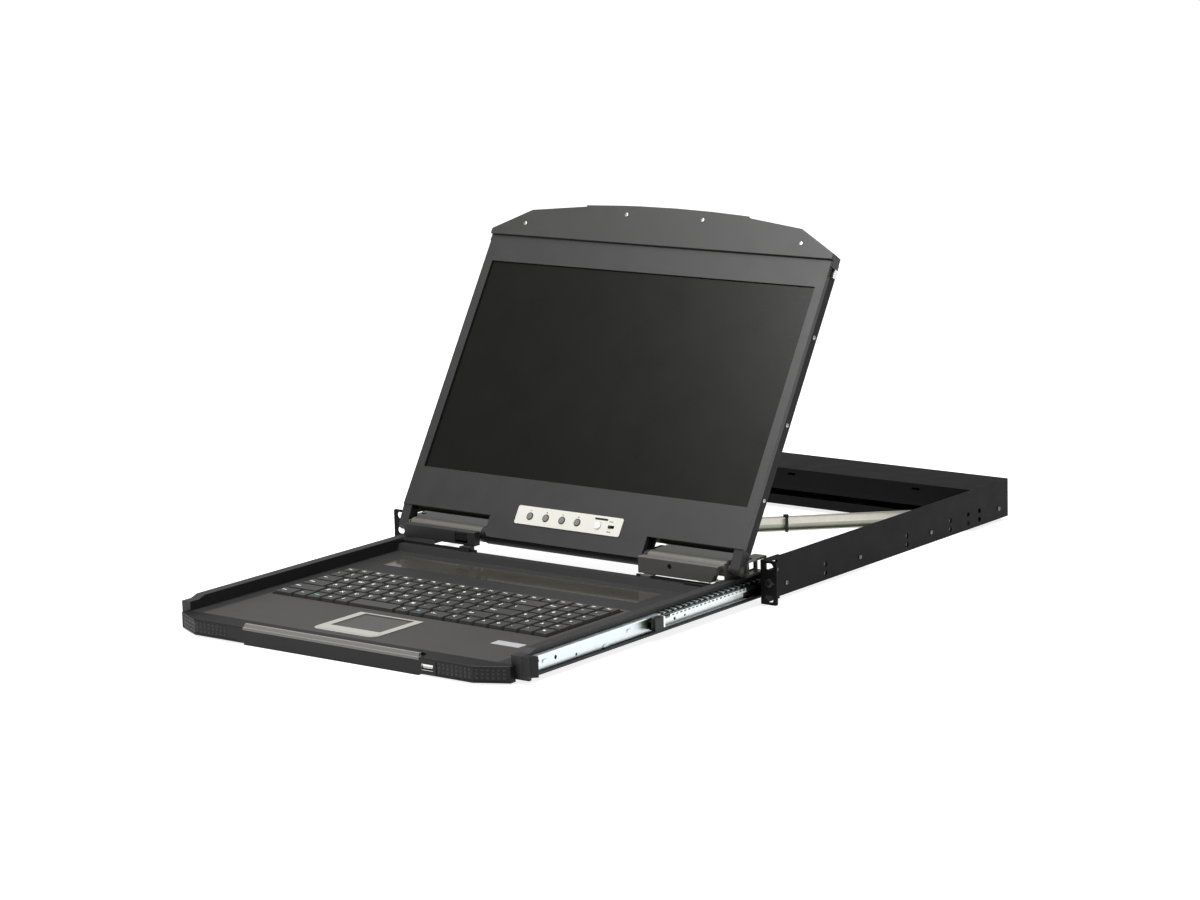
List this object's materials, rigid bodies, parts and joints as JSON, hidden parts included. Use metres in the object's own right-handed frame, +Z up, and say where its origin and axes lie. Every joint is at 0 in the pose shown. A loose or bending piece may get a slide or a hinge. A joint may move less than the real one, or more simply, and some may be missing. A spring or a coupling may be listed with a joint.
{
  "type": "rackmount lcd console drawer",
  "caption": "One-unit rack drawer with keyboard, touchpad and a hinged display on ball-bearing slides.",
  "frame": {"origin": "middle of the rack ears' hole pattern, on the front face of the ears", "axes": "+Z up, +Y to the rear of the rack, +X to the right seen from the front"},
  "size_m": [0.4826, 0.8359, 0.3558],
  "materials": {
    "arm_metal": "satin",
    "black_metal": "satin powder coat",
    "black_plastic": "fine texture",
    "board_green": "satin",
    "key_plastic": "matt",
    "screen": "anti-glare",
    "silver_plastic": "satin",
    "soft_plastic": "fine texture",
    "steel": "plain",
    "strip_gloss": "gloss",
    "tie_plastic": "matt",
    "white_plastic": "gloss",
    "zinc": "zinc plated"
  },
  "bodies": {
    "chassis": {"rack_ear_right": "black_metal", "rack_ear_left": "black_metal", "side_panel_right": "black_metal", "side_panel_left": "black_metal", "rear_box_base": "black_metal", "rear_box_cover": "black_metal", "controller_board": "board_green", "chassis_screws": "steel", "chassis_channel_right": "zinc", "chassis_channel_left": "zinc"},
    "drawer": {"tray": "black_metal", "front_moulding": "black_plastic", "usb_socket": "steel", "palm_rest": "soft_plastic", "keyboard_plate": "black_plastic", "status_strip": "strip_gloss", "touchpad_frame": "silver_plastic", "touchpad": "soft_plastic", "hinge_bracket_right": "black_metal", "hinge_bracket_left": "black_metal", "hinge_cover_right": "black_plastic", "hinge_cover_left": "black_plastic", "drawer_channel_right": "zinc", "drawer_channel_left": "zinc"},
    "display": {"display_bezel": "black_metal", "display_rear_cover": "black_metal", "display_panel": "screen", "display_handle": "black_metal", "hinge_arm_right": "black_metal", "hinge_arm_left": "black_metal", "control_plate": "silver_plastic", "display_screws": "steel"},
    "middle_rail_right": {"middle_rail_right": "zinc"},
    "middle_rail_left": {"middle_rail_left": "zinc"},
    "outer_ball_cage_right": {"outer_ball_cage_right": "steel"},
    "outer_ball_cage_left": {"outer_ball_cage_left": "steel"},
    "inner_ball_cage_right": {"inner_ball_cage_right": "steel"},
    "inner_ball_cage_left": {"inner_ball_cage_left": "steel"},
    "touchpad_button_left": {"touchpad_button_left": "silver_plastic"},
    "touchpad_button_right": {"touchpad_button_right": "silver_plastic"},
    "catch_tab": {"catch_tab": "black_plastic"},
    "side_catch_right": {"side_catch_right": "steel"},
    "side_catch_left": {"side_catch_left": "steel"},
    "power_button": {"power_button": "white_plastic"},
    "mode_switch": {"mode_switch": "tie_plastic"},
    "key_row_function": {"key_row_function": "key_plastic"},
    "key_row_numbers": {"key_row_numbers": "key_plastic"},
    "key_row_upper": {"key_row_upper": "key_plastic"},
    "key_row_home": {"key_row_home": "key_plastic"},
    "key_row_lower": {"key_row_lower": "key_plastic"},
    "key_row_bottom": {"key_row_bottom": "key_plastic"},
    "space_bar": {"space_bar": "key_plastic"},
    "menu_button_1": {"menu_button_1": "silver_plastic"},
    "menu_button_2": {"menu_button_2": "silver_plastic"},
    "menu_button_3": {"menu_button_3": "silver_plastic"},
    "menu_button_4": {"menu_button_4": "silver_plastic"},
    "cable_arm_rear": {"cable_arm_rear": "arm_metal", "cable_tie_rear": "tie_plastic"},
    "cable_arm_front": {"cable_arm_front": "arm_metal", "cable_tie_front": "tie_plastic"}
  },
  "joints": [
    {"name": "drawer_slide", "type": "slide", "parent": "chassis", "child": "drawer", "axis": [0, 1, 0], "range_m": [0, 0.354]},
    {"name": "middle_rail_right_slide", "type": "slide", "parent": "chassis", "child": "middle_rail_right", "axis": [0, 1, 0], "range_m": [-0.001, 0.178]},
    {"name": "outer_ball_cage_right_slide", "type": "slide", "parent": "chassis", "child": "outer_ball_cage_right", "axis": [0, 1, 0], "range_m": [-0.001, 0.0895]},
    {"name": "inner_ball_cage_right_slide", "type": "slide", "parent": "chassis", "child": "inner_ball_cage_right", "axis": [0, 1, 0], "range_m": [-0.001, 0.2665]},
    {"name": "middle_rail_left_slide", "type": "slide", "parent": "chassis", "child": "middle_rail_left", "axis": [0, 1, 0], "range_m": [-0.001, 0.178]},
    {"name": "outer_ball_cage_left_slide", "type": "slide", "parent": "chassis", "child": "outer_ball_cage_left", "axis": [0, 1, 0], "range_m": [-0.001, 0.0895]},
    {"name": "inner_ball_cage_left_slide", "type": "slide", "parent": "chassis", "child": "inner_ball_cage_left", "axis": [0, 1, 0], "range_m": [-0.001, 0.2665]},
    {"name": "display_hinge", "type": "hinge", "parent": "drawer", "child": "display", "pos_m": [0, -0.01775, 0.0135], "axis": [1, 0, 0], "range_deg": [0, 121.64]},
    {"name": "key_row_function_press", "type": "slide", "parent": "drawer", "child": "key_row_function", "axis": [0, 0, -1], "range_m": [0, 0.0022], "stiffness_N_per_m": 400},
    {"name": "key_row_numbers_press", "type": "slide", "parent": "drawer", "child": "key_row_numbers", "axis": [0, 0, -1], "range_m": [0, 0.0022], "stiffness_N_per_m": 400},
    {"name": "key_row_upper_press", "type": "slide", "parent": "drawer", "child": "key_row_upper", "axis": [0, 0, -1], "range_m": [0, 0.0022], "stiffness_N_per_m": 400},
    {"name": "key_row_home_press", "type": "slide", "parent": "drawer", "child": "key_row_home", "axis": [0, 0, -1], "range_m": [0, 0.0022], "stiffness_N_per_m": 400},
    {"name": "key_row_lower_press", "type": "slide", "parent": "drawer", "child": "key_row_lower", "axis": [0, 0, -1], "range_m": [0, 0.0022], "stiffness_N_per_m": 400},
    {"name": "key_row_bottom_press", "type": "slide", "parent": "drawer", "child": "key_row_bottom", "axis": [0, 0, -1], "range_m": [0, 0.0022], "stiffness_N_per_m": 400},
    {"name": "space_bar_press", "type": "slide", "parent": "drawer", "child": "space_bar", "axis": [0, 0, -1], "range_m": [0, 0.0022], "stiffness_N_per_m": 400},
    {"name": "touchpad_button_left_press", "type": "slide", "parent": "drawer", "child": "touchpad_button_left", "axis": [0, 0, -1], "range_m": [0, 0.0008], "stiffness_N_per_m": 600},
    {"name": "touchpad_button_right_press", "type": "slide", "parent": "drawer", "child": "touchpad_button_right", "axis": [0, 0, -1], "range_m": [0, 0.0008], "stiffness_N_per_m": 600},
    {"name": "catch_tab_slide", "type": "slide", "parent": "drawer", "child": "catch_tab", "axis": [0, 0, -1], "range_m": [0, 0.0022], "stiffness_N_per_m": 300},
    {"name": "menu_button_1_press", "type": "slide", "parent": "display", "child": "menu_button_1", "axis": [0, 0.8514, -0.5246], "range_m": [0, 0.0006], "stiffness_N_per_m": 600},
    {"name": "menu_button_2_press", "type": "slide", "parent": "display", "child": "menu_button_2", "axis": [0, 0.8514, -0.5246], "range_m": [0, 0.0006], "stiffness_N_per_m": 600},
    {"name": "menu_button_3_press", "type": "slide", "parent": "display", "child": "menu_button_3", "axis": [0, 0.8514, -0.5246], "range_m": [0, 0.0006], "stiffness_N_per_m": 600},
    {"name": "menu_button_4_press", "type": "slide", "parent": "display", "child": "menu_button_4", "axis": [0, 0.8514, -0.5246], "range_m": [0, 0.0006], "stiffness_N_per_m": 600},
    {"name": "power_button_press", "type": "slide", "parent": "display", "child": "power_button", "axis": [0, 0.8514, -0.5246], "range_m": [0, 0.0006], "stiffness_N_per_m": 600},
    {"name": "mode_switch_slide", "type": "slide", "parent": "display", "child": "mode_switch", "axis": [1, 0, 0], "range_m": [0, 0.003]},
    {"name": "side_catch_right_press", "type": "slide", "parent": "display", "child": "side_catch_right", "axis": [-1, 0, 0], "range_m": [0, 0.0025], "stiffness_N_per_m": 500},
    {"name": "side_catch_left_press", "type": "slide", "parent": "display", "child": "side_catch_left", "axis": [1, 0, 0], "range_m": [0, 0.0025], "stiffness_N_per_m": 500},
    {"name": "cable_arm_rear_hinge", "type": "hinge", "parent": "chassis", "child": "cable_arm_rear", "pos_m": [0.19, 0.35, 0], "axis": [0, 0, -1], "range_deg": [-0.2, 41.26]},
    {"name": "cable_arm_elbow", "type": "hinge", "parent": "cable_arm_rear", "child": "cable_arm_front", "pos_m": [-0.00983, 0.164, -0.0133], "axis": [0, 0, 1], "range_deg": [-0.4, 82.52]}
  ],
  "couplings": [
    {"joint": "middle_rail_right_slide", "follows": "drawer_slide", "ratio": 0.5},
    {"joint": "outer_ball_cage_right_slide", "follows": "drawer_slide", "ratio": 0.25},
    {"joint": "inner_ball_cage_right_slide", "follows": "drawer_slide", "ratio": 0.75},
    {"joint": "middle_rail_left_slide", "follows": "drawer_slide", "ratio": 0.5},
    {"joint": "outer_ball_cage_left_slide", "follows": "drawer_slide", "ratio": 0.25},
    {"joint": "inner_ball_cage_left_slide", "follows": "drawer_slide", "ratio": 0.75},
    {"joint": "cable_arm_rear_hinge", "follows": "drawer_slide", "rad_per_m": 2.0243},
    {"joint": "cable_arm_elbow", "follows": "drawer_slide", "rad_per_m": 4.0485}
  ]
}
